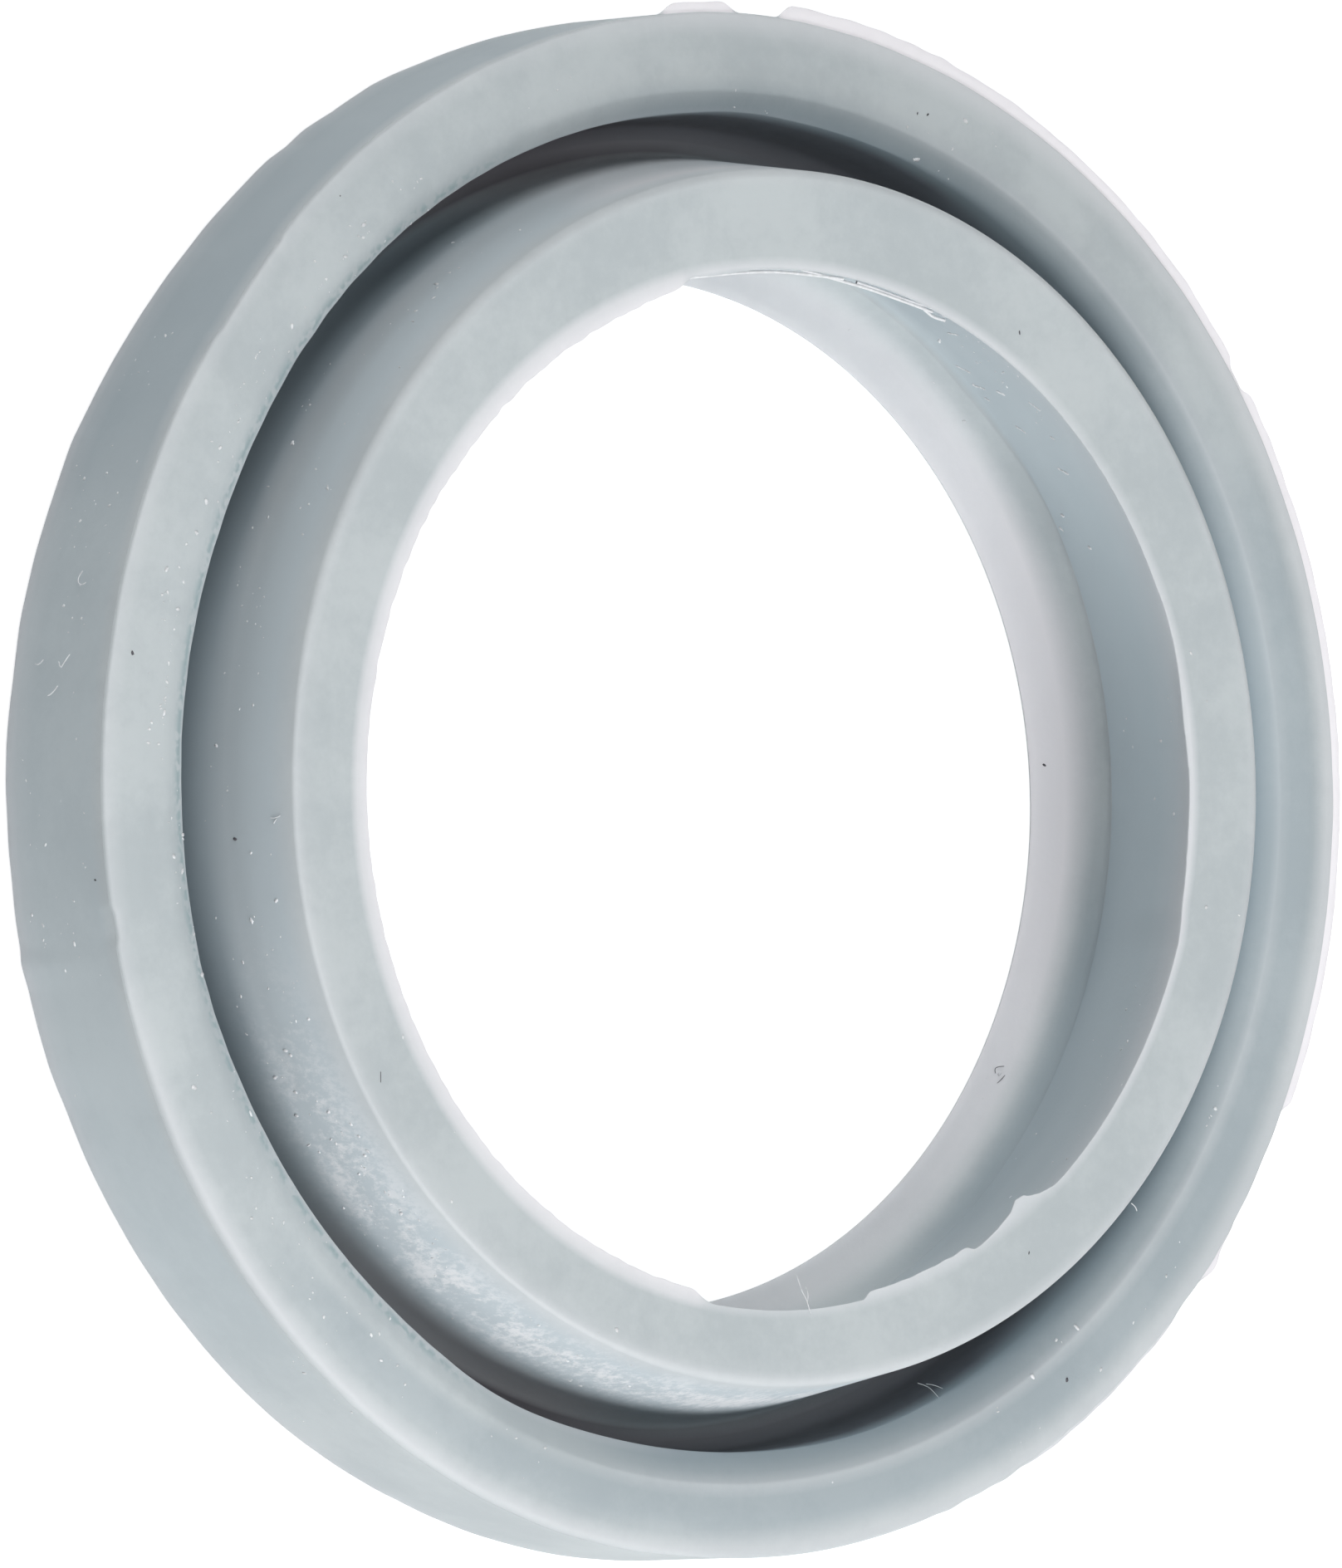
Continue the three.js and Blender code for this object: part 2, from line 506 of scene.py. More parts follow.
def painted_highlights(lines, angles):
    """The edges that look paler: painted highlights where they are thin or catch the light, and
    painted glow down the bore wall.
    """
    soft_rim = stretch(angles, 200, 262, 30)
    wide_rim = stretch(angles, 262, 95, 20)
    rim_reach = (0.45 + np.maximum(0.3 * soft_rim, 0.5 * wide_rim)) * MM
    rim = 0.40 + 0.25 * soft_rim + 0.12 * stretch(angles, 262, 345, 15)
    rim = rim + 0.3 * stretch(angles, 345, 95, 15)
    back = 0.55 + 0.4 * stretch(angles, 105, 205, 20)
    lip = 0.4 * stretch(angles, 200, 262, 15) + 0.2 * stretch(angles, 76, 105, 10)
    crease = 0.34 * stretch(angles, 255, 72, 20) * (1 - 0.6 * hump(angles, 0, 28))
    face = 0.4 + 0.2 * stretch(angles, 230, 305, 20)
    wall = 0.9
    bore = 0.4 + 0.4 * stretch(angles, 50, 100, 12)
    glow = 0.95 * hump(angles, -8, 50)
    film = 0.7 * stretch(angles, 278, 309, 4)
    return [
        PaintedHighlight(lines["back"], 1.2 * MM, back, "back", "outer_wall"),
        PaintedHighlight(lines["rim"], rim_reach, rim, "rim", "outer_face"),
        PaintedHighlight(lines["lip"], 0.25 * MM, lip, "bevel", "groove"),
        PaintedHighlight(lines["crease"], 0.28 * MM, crease, "bevel", "outer_face"),
        PaintedHighlight(lines["face"], 0.7 * MM, face, "inner_face"),
        PaintedHighlight(lines["face"], 1.8 * MM, wall, "inner_wall"),
        PaintedHighlight(lines["bore"], 0.3 * MM, bore, "inner_face", "inner_flash"),
        PaintedHighlight(lines["bore"], 2.5 * MM, glow, "inner_flash", "bore_wall"),
        PaintedHighlight(lines["film"], 0.14 * MM, film, "inner_face", "inner_flash"),
    ]


# Mesh building

def ring_mesh(name, outline, sharp, angles):
    """A closed ring from the section's points at every angle, with its surface unrolled as UVs."""
    turns = np.radians(angles)[:, None]
    radius, height = outline[..., 0], outline[..., 1]
    places = np.stack([radius * np.cos(turns), radius * np.sin(turns), height], axis=2)
    rows, columns = radius.shape
    index = np.arange(rows * columns).reshape(rows, columns)
    ahead = np.roll(index, -1, axis=0)
    beside = np.roll(index, -1, axis=1)
    across = np.roll(ahead, -1, axis=1)
    faces = np.stack([index, ahead, across, beside], axis=2).reshape(-1, 4)
    mesh = bpy.data.meshes.new(name)
    mesh.from_pydata(places.reshape(-1, 3).tolist(), [], faces.tolist())
    mesh.shade_smooth()
    sharpen(mesh, sharp)
    unroll(mesh, outline)
    return mesh


def sharpen(mesh, sharp):
    """Keeps the films' edges crisp, which run round the ring at the sharp steps."""
    ends = np.empty(len(mesh.edges) * 2, dtype=np.int32)
    mesh.edges.foreach_get("vertices", ends)
    first, last = ends.reshape(-1, 2).T % len(sharp)
    layer = mesh.attributes.new("sharp_edge", "BOOLEAN", "EDGE")
    layer.data.foreach_set("value", (first == last) & sharp[first])


def unroll(mesh, outline):
    """UVs of the ring: turns round the axis, and millimetres along the section."""
    rows, columns = outline.shape[:2]
    steps = lengths(np.roll(outline[0], -1, axis=0) - outline[0])[:, 0] / MM
    along = np.concatenate([[0.0], np.cumsum(steps)])
    row, column = np.divmod(np.arange(rows * columns), columns)
    low, high = row / rows, (row + 1) / rows
    left, right = along[column], along[column + 1]
    corners = np.stack([low, left, high, left, high, right, low, right], axis=1)
    layer = mesh.uv_layers.new(name="unrolled")
    layer.data.foreach_set("uv", corners.astype(np.float32).ravel())


def write_mark(mesh, name, values):
    """Keeps one number for every point of the mesh, for the material to read."""
    layer = mesh.attributes.new(name, "FLOAT", "POINT")
    layer.data.foreach_set("value", np.asarray(values, dtype=np.float32).ravel())


def show(data):
    """Puts a mesh, a light or a camera in the scene as an object."""
    piece = bpy.data.objects.new(data.name, data)
    bpy.context.scene.collection.objects.link(piece)
    return piece


def belong(piece, material):
    """Gives the piece its material and its place in the ring's model."""
    piece.data.materials.append(material)
    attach(piece, BODY)
    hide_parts(NODE)


# Small things that lie on the ring

FACES = ("outer_face", "inner_face", "bevel", "flange")


class Surface:
    """The ring's surface, where small things can be laid."""

    def __init__(self, sizes):
        section = ring_section(sizes, turn_angles())[0]
        self.outline, self.walls, _ = section.outline()
        along = np.roll(self.outline, -1, axis=1) - np.roll(self.outline, 1, axis=1)
        self.out = np.stack([along[..., 1], -along[..., 0]], axis=2)

    def spot(self, wall, angle, measure):
        """A place at an angle, and at a radius on a face or a height on a wall, and the way out."""
        row = round(angle / 360 * TURN_STEPS) % TURN_STEPS
        columns = np.flatnonzero(self.walls == wall)
        columns = np.append(columns, (columns[-1] + 1) % len(self.walls))
        line, out = self.outline[row, columns], self.out[row, columns]
        part = 0 if wall in FACES else 1
        order = np.argsort(line[:, part])
        known = line[order, part]
        radius, height = (np.interp(measure, known, line[order, axis]) for axis in (0, 1))
        side, rise = (np.interp(measure, known, out[order, axis]) for axis in (0, 1))
        turn = math.radians(angle)
        place = Vector((radius * math.cos(turn), radius * math.sin(turn), height))
        return place, Vector((side * math.cos(turn), side * math.sin(turn), rise)).normalized()


def lumps_mesh(name, spots, seed):
    """Small uneven lumps, each with its place, the way out of the surface and its size."""
    source = np.random.default_rng(seed)
    grown = bmesh.new()
    for place, out, size in spots:
        lump = bmesh.ops.create_icosphere(grown, subdivisions=2, radius=1.0)["verts"]
        turned_out = out.to_track_quat("Z", "Y").to_matrix()
        spin = Matrix.Rotation(source.uniform(0, 2 * math.pi), 3, "Z")
        long, wide, flat = source.uniform(0.6, 1.5), source.uniform(0.5, 0.9), 0.45
        stretched = Matrix.Diagonal((long, wide, flat))
        shape = turned_out @ spin @ stretched * size
        for vert in lump:
            vert.co = place + shape @ (vert.co * source.uniform(0.7, 1.2))
    mesh = bpy.data.meshes.new(name)
    grown.to_mesh(mesh)
    grown.free()
    mesh.shade_smooth()
    return mesh


def fibres_mesh(name, paths, thickness):
    """Fine round fibres, each a smooth curve through its points."""
    curve = bpy.data.curves.new(name, "CURVE")
    curve.dimensions = "3D"
    curve.bevel_depth = thickness
    curve.bevel_resolution = 1
    curve.resolution_u = 6
    for path in paths:
        spline = curve.splines.new("NURBS")
        spline.points.add(len(path) - 1)
        for point, place in zip(spline.points, path):
            point.co = (*place, 1.0)
        spline.order_u = min(3, len(path))
        spline.use_endpoint_u = True
    holder = bpy.data.objects.new(name, curve)
    mesh = bpy.data.meshes.new_from_object(holder)
    mesh.name = name
    bpy.data.objects.remove(holder)
    mesh.shade_smooth()
    return mesh


# Materials

class Nodes:
    """Builds the nodes of a material or a world in a few words."""

    # Places of the colour sockets on a mix node, which has several of each name
    MIX_SHARE, MIX_FIRST, MIX_SECOND, MIX_RESULT = 0, 6, 7, 2

    def __init__(self, owner):
        owner.use_nodes = True
        self.owner = owner
        self.tree = owner.node_tree
        self.tree.nodes.clear()

    def add(self, kind, inputs=None, **settings):
        node = self.tree.nodes.new(kind)
        for key, value in settings.items():
            setattr(node, key, value)
        for key, value in (inputs or {}).items():
            self.put(value, node.inputs[key])
        return node

    def put(self, value, socket):
        if isinstance(value, bpy.types.NodeSocket):
            self.tree.links.new(value, socket)
        elif socket.type == "RGBA":
            socket.default_value = (*value, 1.0)
        else:
            socket.default_value = value

    def math(self, operation, first, second):
        node = self.add("ShaderNodeMath", {0: first, 1: second}, operation=operation)
        return node.outputs[0]

    def sum(self, first, share, second):
        """Two values added up, the first with its share and the second with the rest."""
        first = self.math("MULTIPLY", first, share)
        second = self.math("MULTIPLY", second, 1 - share)
        return self.math("ADD", first, second)

    def noise(self, places, scale, detail, roughness=0.5):
        node = self.add("ShaderNodeTexNoise", {
            "Vector": places, "Scale": scale, "Detail": detail, "Roughness": roughness,
        })
        return node.outputs["Fac"]

    def ramp(self, value, low, high):
        """0 below low, 1 above high."""
        node = self.add("ShaderNodeMapRange", {
            "Value": value, "From Min": low, "From Max": high, "To Min": 0.0, "To Max": 1.0,
        }, interpolation_type="SMOOTHSTEP")
        return node.outputs["Result"]

    def between(self, low, high, value):
        """From low to high, evenly, with a noise value that lies mostly between 0.3 and 0.7."""
        node = self.add("ShaderNodeMapRange", {
            "Value": value, "From Min": 0.3, "From Max": 0.7, "To Min": low, "To Max": high,
        })
        return node.outputs["Result"]

    def blend(self, share, first, second):
        inputs = {self.MIX_SHARE: share, self.MIX_FIRST: first, self.MIX_SECOND: second}
        return self.add("ShaderNodeMix", inputs, data_type="RGBA").outputs[self.MIX_RESULT]

    def mark(self, name):
        return self.add("ShaderNodeAttribute", attribute_name=name).outputs["Fac"]

    def finished(self, inputs, **settings):
        """The material, closed with a shader that has these inputs and settings."""
        shader = self.add("ShaderNodeBsdfPrincipled", inputs, **settings)
        self.add("ShaderNodeOutputMaterial", {"Surface": shader.outputs["BSDF"]})
        return self.owner

    def unrolled(self, around, along):
        """The ring's UVs, stretched to give noise these numbers of waves per turn and millimetre."""
        places = self.add("ShaderNodeUVMap", uv_map="unrolled").outputs["UV"]
        scale = (around, along, 1.0)
        node = self.add("ShaderNodeVectorMath", {0: places, 1: scale}, operation="MULTIPLY")
        return node.outputs["Vector"]


def silicone_material(finish):
    """Matt grey silicone: cloudy colour, fine grain, white specks, pale flash, painted highlights
    and painted shade, darkest in the groove.
    """
    nodes = Nodes(bpy.data.materials.new("grey_silicone"))
    places = nodes.add("ShaderNodeTexCoord").outputs["Object"]

    cloud = nodes.noise(places, scale=130.0, detail=2.0, roughness=0.55)
    mottle = nodes.noise(places, scale=1300.0, detail=4.0, roughness=0.7)
    cloudy = nodes.ramp(nodes.sum(cloud, 0.68, mottle), 0.37, 0.63)
    body = nodes.blend(cloudy, finish.silicone, finish.pale)

    # Painted light and shade: a cooler tint and a darker grey where shade falls, painted highlights
    # on edges, and near-black painted shade in the groove.
    tints = {"shade_tint": finish.shade_tint, "shade": finish.shaded, "edge": finish.edge, "groove": finish.grime_and_groove_shade}
    for mark, tint in tints.items():
        body = nodes.blend(nodes.mark(mark), body, tint)

    # Scuffs and a painted sheen on the inner lip's outer wall, in the dust colour.
    fine_streaks = nodes.unrolled(around=430.0, along=1.6)
    streaks = nodes.noise(fine_streaks, scale=1.0, detail=3.0, roughness=0.75)
    patches = nodes.noise(nodes.unrolled(around=60.0, along=0.35), scale=1.0, detail=1.0)
    scuff_and_sheen_streaks = nodes.ramp(nodes.sum(streaks, 0.6, patches), 0.43, 0.62)
    scuff_and_sheen = nodes.math("MULTIPLY", nodes.mark("scuff_and_sheen"), scuff_and_sheen_streaks)
    body = nodes.blend(nodes.math("MULTIPLY", scuff_and_sheen, 0.9), body, finish.dust)

    rubbed = nodes.noise(places, scale=2600.0, detail=1.0)
    worn = nodes.math("MULTIPLY", nodes.mark("worn"), nodes.ramp(rubbed, 0.36, 0.58))
    body = nodes.blend(worn, body, finish.worn)

    cells = nodes.add("ShaderNodeTexVoronoi", {"Vector": places, "Scale": 2000.0, "Randomness": 1.0})
    picked = nodes.math("GREATER_THAN", cells.outputs["Color"], 0.93)
    near = nodes.math("LESS_THAN", cells.outputs["Distance"], 0.15)
    thick = nodes.math("MULTIPLY", nodes.mark("dust"), nodes.ramp(patches, 0.48, 0.60))
    speck = nodes.math("MULTIPLY", nodes.math("MULTIPLY", picked, near), thick)
    body = nodes.blend(nodes.math("MULTIPLY", speck, 0.8), body, finish.dust)

    # Pale flash, and painted glow on the back's thin lip.
    body = nodes.blend(nodes.mark("flash"), body, finish.flash)

    peel = nodes.noise(places, scale=650.0, detail=1.0)
    grain = nodes.noise(places, scale=3600.0, detail=2.0, roughness=0.6)
    relief = nodes.sum(peel, 0.6, grain)
    bump = nodes.add("ShaderNodeBump", {"Strength": 0.7, "Distance": finish.grain, "Height": relief})

    rough = nodes.between(finish.roughness - 0.06, finish.roughness + 0.08, mottle)
    return nodes.finished({
        "Base Color": body, "Roughness": rough, "IOR": 1.41, "Normal": bump.outputs["Normal"],
        "Subsurface Weight": finish.translucency, "Subsurface Radius": (1.0, 0.95, 0.9),
        "Subsurface Scale": 0.9 * MM,
    }, subsurface_method="BURLEY")


def crumb_material(name, colour, darker):
    """Matt crumbs and fibres, uneven in colour."""
    nodes = Nodes(bpy.data.materials.new(name))
    places = nodes.add("ShaderNodeTexCoord").outputs["Object"]
    uneven = nodes.noise(places, scale=4000.0, detail=2.0)
    dark = [part * darker for part in colour]
    body = nodes.blend(nodes.ramp(uneven, 0.35, 0.65), colour, dark)
    bump = nodes.add("ShaderNodeBump", {"Strength": 0.4, "Distance": 0.01 * MM, "Height": uneven})
    rough = nodes.between(0.7, 0.95, uneven)
    return nodes.finished({"Base Color": body, "Roughness": rough, "Normal": bump.outputs["Normal"]})


def floor_material():
    """White paper that shows as white to the camera and keeps the ring's shadow."""
    nodes = Nodes(bpy.data.materials.new("white_floor"))
    path = nodes.add("ShaderNodeLightPath")
    seen = nodes.math("MAXIMUM", path.outputs["Is Camera Ray"], path.outputs["Is Glossy Ray"])
    seen = nodes.math("MAXIMUM", seen, path.outputs["Is Transmission Ray"])
    paper = nodes.add("ShaderNodeBsdfDiffuse", {"Color": (0.58, 0.59, 0.60)})
    glow = nodes.add("ShaderNodeEmission", {"Strength": nodes.math("MULTIPLY", seen, 0.70)})
    both = nodes.add("ShaderNodeAddShader", {0: paper.outputs[0], 1: glow.outputs[0]})
    nodes.add("ShaderNodeOutputMaterial", {"Surface": both.outputs[0]})
    return nodes.owner


def surround(strength):
    """Even pale blue light from all round, which the camera sees as plain grey."""
    world = bpy.data.worlds.new("surround")
    world.cycles.sampling_method = "NONE"
    nodes = Nodes(world)
    sky = nodes.add("ShaderNodeBackground", {"Color": (0.90, 0.965, 1.0), "Strength": strength})
    plain = nodes.add("ShaderNodeBackground")
    path = nodes.add("ShaderNodeLightPath")
    mix = nodes.add("ShaderNodeMixShader", {
        0: path.outputs["Is Camera Ray"], 1: sky.outputs[0], 2: plain.outputs[0],
    })
    nodes.add("ShaderNodeOutputWorld", {"Surface": mix.outputs[0]})
    return world


# Operators

class SEAL_OT_ring(bpy.types.Operator):
    """Models the moulded ring with its flash, and gives it the silicone finish with painted light
    and shade
    """

    bl_idname = "seal.ring"
    bl_label = "Moulded ring"

    DUSTY = ("outer_wall", "inner_wall", "bevel", "bore_wall", "outer_face")

    def execute(self, context):
        sizes, finish = context.scene.seal_sizes, context.scene.seal_finish
        angles = turn_angles()
        section, lines = ring_section(sizes, angles)
        outline, walls, sharp = section.outline()
        mesh = ring_mesh("moulded_ring", outline, sharp, angles)
        around = angles[:, None]
        # The edge mark is painted highlight and painted light: paler along edges and on parts of the
        # inner wall.
        pale = [edge.mark(outline, walls) for edge in painted_highlights(lines, angles)]
        pale.append(self.lit(outline, walls, around))
        write_mark(mesh, "edge", np.max(pale, axis=0))
        write_mark(mesh, "dust", np.isin(walls, self.DUSTY) * np.ones(outline.shape[:2]))
        for mark in (self.flash, self.groove, self.shade_tint, self.shade, self.worn, self.scuff_and_sheen):
            write_mark(mesh, mark.__name__, mark(outline, walls, around))
        belong(show(mesh), silicone_material(finish))
        return {"FINISHED"}

    def flash(self, outline, walls, angles):
        """How pale each point is as thin flash, or as painted glow on the thin lip of the back."""
        radius = outline[..., 0]
        inner = above(inner_flash_width(angles[:, 0]), 0, 0.3)[:, None]
        outer = above(outer_flash_width(angles[:, 0]), 0, 0.2)[:, None]
        # Painted glow: the back's thin lip is paled as if light shone through it.
        lip = below(radius, 23.5 + 0.3 * hump(angles, 8, 18), 0.8) * (walls == "flange")
        lip = lip * (0.42 + 0.5 * hump(angles, 0, 45))
        root = radius[:, [np.argmax(walls == "inner_flash")]]
        thinning = 0.32 + 0.4 * above(root - radius, 0, 0.4)
        inner = thinning * inner * stretch(angles, 98, 262, 8) * (walls == "inner_flash")
        return inner + 0.85 * outer * (walls == "outer_flash") + lip

    def groove(self, outline, walls, angles):
        """How much painted shade darkens each point low in the groove."""
        height = outline[..., 1]
        start = 2.75 + 0.3 * hump(angles, 101, 14) + 0.1 * hump(angles, 248, 12)
        inner = below(height, start, 0.5) * (walls == "inner_wall")
        fade = 0.3 + 2.6 * stretch(angles, 300, 60, 26)
        outer = below(height, 6.5, fade) * (walls == "groove")
        depth = 0.84 + 0.14 * (hump(angles, 248, 14) + hump(angles, 104, 12))
        depth = depth - 0.06 * hump(angles, 284, 12)
        return depth * np.maximum(inner, outer)

    def lit(self, outline, walls, angles):
        """How much painted light makes each point of the inner wall paler, low in the groove and at
        its far end.
        """
        height = outline[..., 1]
        low = below(height, 5.5, 1.2, 0.85) * stretch(angles, 222, 258, 14)
        high = 0.28 * above(height, 5.0, 1.5)
        far = (0.6 + 0.4 * above(height, 7.6, 1.0)) * stretch(angles, 84, 108, 16)
        return np.max([low, high, far], axis=0) * (walls == "inner_wall")

    def shade_tint(self, outline, walls, angles):
        """Painted shade tint: how much cooler and lighter each point's grey is on the walls that
        face one another.
        """
        bore = (0.35 + 0.55 * hump(angles, 5, 40)) * np.isin(walls, ["bore_wall", "undercut"])
        far = 1 - 0.6 * stretch(angles, 122, 156, 14)
        inner = 0.9 * np.maximum(above(outline[..., 1], 6.0, 1.5), far) * (walls == "inner_wall")
        outer = 0.35 * stretch(angles, 95, 225, 25) * (walls == "outer_wall")
        return bore + inner + outer

    def shade(self, outline, walls, angles):
        """How much painted shade makes each point darker than the plain silicone."""
        radius, height = outline[..., 0], outline[..., 1]

        # Painted shade on part of the outer face.
        face = 0.40 * stretch(angles, 262, 24, 26) + 0.26 * stretch(angles, 220, 262, 16)
        face = face * below(radius, 31.5, 1.0) * (walls == "outer_face")

        # Painted shadow of the inner lip on the bevel and down into the groove.
        crease, bevel_width = 28.9, 1.15
        down = below(radius, crease, bevel_width)
        bevel = 0.20 + 0.2 * hump(angles, 2, 24) + 0.48 * down
        bevel = bevel * stretch(angles, 256, 100, 16) * np.isin(walls, ["bevel", "groove"])

        # Painted shade down the inner wall towards the groove, and a dimmer band higher up.
        start = 6.3 + 1.3 * hump(angles, 136, 22) + 0.5 * hump(angles, 204, 16)
        low = below(height, start, 2.4, 0.76) * stretch(angles, 112, 209, 22)
        dimmed = below(height, 8.2, 1.2) * above(height, 4.0, 1.4)
        dimmed = 0.22 * dimmed * stretch(angles, 218, 276, 16)
        inner = np.maximum(low, dimmed) * (walls == "inner_wall")

        # Painted shade on part of the outer wall.
        outer = 0.36 * stretch(angles, 95, 155, 15) * (walls == "outer_wall")

        # Painted shade on parts of the bore wall.
        bore = 0.3 * hump(angles, 310, 28) + 0.12 * hump(angles, 46, 8) + 0.34 * hump(angles, 60, 8)
        bore = bore + 0.18 * hump(angles, 322, 24) * below(height, 6.5, 2.5)
        bore = bore * (walls == "bore_wall")

        # Painted shadow under the bore wall's foot, on the flange.
        skirt = 0.55 * stretch(angles, 300, 350, 24) * above(radius, 23.3, 0.4)
        skirt = skirt * np.isin(walls, ["flange", "undercut"])
        return face + bevel + inner + outer + bore + skirt

    def worn(self, outline, walls, angles):
        """How rubbed each point of the outer lip's inner edge is on the left."""
        radius = outline[..., 0]
        edge = np.where(walls == "bevel", radius, np.inf).min(axis=1, keepdims=True)
        near = 1 - above(radius - edge, 0, 0.35)
        return stretch(angles, 112, 238, 12) * near * (walls == "bevel")

    def scuff_and_sheen(self, outline, walls, angles):
        """How rubbed and powdery each point of the inner lip's outer wall is, with a painted sheen
        there as well.
        """
        middle, spread = 7.8 * MM, 1.9 * MM
        band = np.exp(-((outline[..., 1] - middle) / spread) ** 2)
        return stretch(angles, 203, 288, 30) * band * (walls == "inner_wall")


class SEAL_OT_specks(bpy.types.Operator):
    """Scatters the specks of mould powder and the few dark bits over the ring"""

    bl_idname = "seal.specks"
    bl_label = "Specks and dark bits"

    # Patches on each wall: first and last angle, lowest and highest place in millimetres, and count
    PATCHES = {
        "outer_face": (
            (118, 176, 28.5, 30.2, 90), (196, 262, 28.8, 31.2, 40),
            (268, 330, 28.8, 31.2, 12), (40, 112, 29.0, 31.0, 9),
        ),
        "bevel": (
            (118, 236, 27.9, 28.9, 38), (296, 334, 28.0, 28.9, 9), (62, 108, 28.1, 28.9, 9),
        ),
        "outer_wall": (
            (150, 204, 1.2, 5.6, 60), (210, 252, 1.0, 6.2, 14), (106, 148, 1.6, 6.0, 10),
        ),
        "inner_wall": ((114, 204, 5.4, 9.6, 100), (204, 256, 5.6, 9.8, 90)),
        "bore_wall": ((38, 76, 5.2, 9.8, 22), (300, 36, 3.4, 9.6, 24)),
        "inner_face": ((0, 360, 22.2, 24.8, 10),),
        "flange": ((320, 60, 22.0, 23.4, 7),),
    }
    # How far specks stray from their group, as shares of the patch round and across
    SCATTER = (0.05, 0.16)
    SMALLEST = 0.03 * MM
    SPREAD = 0.028 * MM
    LARGEST = 0.11 * MM

    # Each streak on the bore wall: angle and height in millimetres of its two ends
    STREAKS = (
        ((59.5, 7.4), (59.3, 8.4)), ((55.2, 6.6), (55.7, 7.6)), ((52.1, 4.2), (51.3, 3.7)),
        ((46.9, 2.9), (46.5, 3.8)), ((44.1, 2.9), (44.0, 3.9)), ((44.4, 5.2), (44.2, 5.7)),
        ((44.3, 8.0), (43.4, 8.5)), ((38.9, 4.3), (38.4, 4.8)), ((34.1, 6.0), (33.6, 6.7)),
        ((42.3, 3.1), (42.1, 3.3)), ((38.9, 7.4), (38.8, 7.6)), ((27.6, 3.7), (27.5, 3.9)),
        ((24.2, 5.1), (24.1, 5.3)), ((25.9, 2.9), (25.7, 3.1)), ((63.0, 8.6), (62.4, 9.2)),
        ((67.6, 10.4), (66.4, 10.3)), ((64.9, 10.3), (63.8, 10.25)), ((62.7, 10.1), (62.0, 9.8)),
    )
    STREAK_LUMPS = 9
    STREAK_SIZE = 0.075 * MM

    # Dark bits on each wall: angle, place and size in millimetres
    DARK_BITS = {
        "outer_face": (
            (67, 30.0, 0.07), (68, 29.85, 0.06), (168, 31.0, 0.08), (303, 30.1, 0.09),
            (127, 31.2, 0.05),
        ),
        "inner_face": ((301, 23.15, 0.06), (54, 22.7, 0.06)),
        "inner_wall": ((183, 7.2, 0.09),),
        "outer_wall": ((185, 6.0, 0.06),),
        "flange": ((1, 21.9, 0.08),),
    }

    def execute(self, context):
        sizes, finish = context.scene.seal_sizes, context.scene.seal_finish
        surface = Surface(sizes)
        spots = self.scatter(surface) + self.streaks(surface)
        pale = lumps_mesh("pale_specks", spots, seed=31)
        belong(show(pale), crumb_material("powder", finish.dust, 0.75))
        spots = [
            (*surface.spot(wall, angle, measure * MM), size * MM)
            for wall, bits in self.DARK_BITS.items()
            for angle, measure, size in bits
        ]
        dark = lumps_mesh("dark_bits", spots, seed=32)
        belong(show(dark), crumb_material("dark_crumb", finish.grime_and_groove_shade, 0.5))
        return {"FINISHED"}

    def scatter(self, surface):
        """Pale specks in loose groups, most of them tiny."""
        source = np.random.default_rng(33)
        spots = []
        for wall, patches in self.PATCHES.items():
            for patch in patches:
                spots.extend(self.patch(surface, source, wall, *patch))
        return spots

    def patch(self, surface, source, wall, first, last, low, high, count):
        span = (last - first - 1) % 360 + 1
        groups = source.uniform(0, 1, (max(2, count // 5), 2))
        for group in source.integers(0, len(groups), count):
            share = (groups[group] + source.normal(0, self.SCATTER, 2)) % 1
            size = self.SMALLEST + self.SPREAD * source.exponential()
            angle, measure = first + share[0] * span, low + share[1] * (high - low)
            place, out = surface.spot(wall, angle, measure * MM)
            yield place, out, min(size, self.LARGEST)

    def streaks(self, surface):
        """Streaks of powder on the bore wall, each a row of small lumps."""
        spots = []
        for first, last in self.STREAKS:
            for share in np.linspace(0, 1, self.STREAK_LUMPS):
                angle, height = (start + (end - start) * share for start, end in zip(first, last))
                spots.append((*surface.spot("bore_wall", angle, height * MM), self.STREAK_SIZE))
        return spots


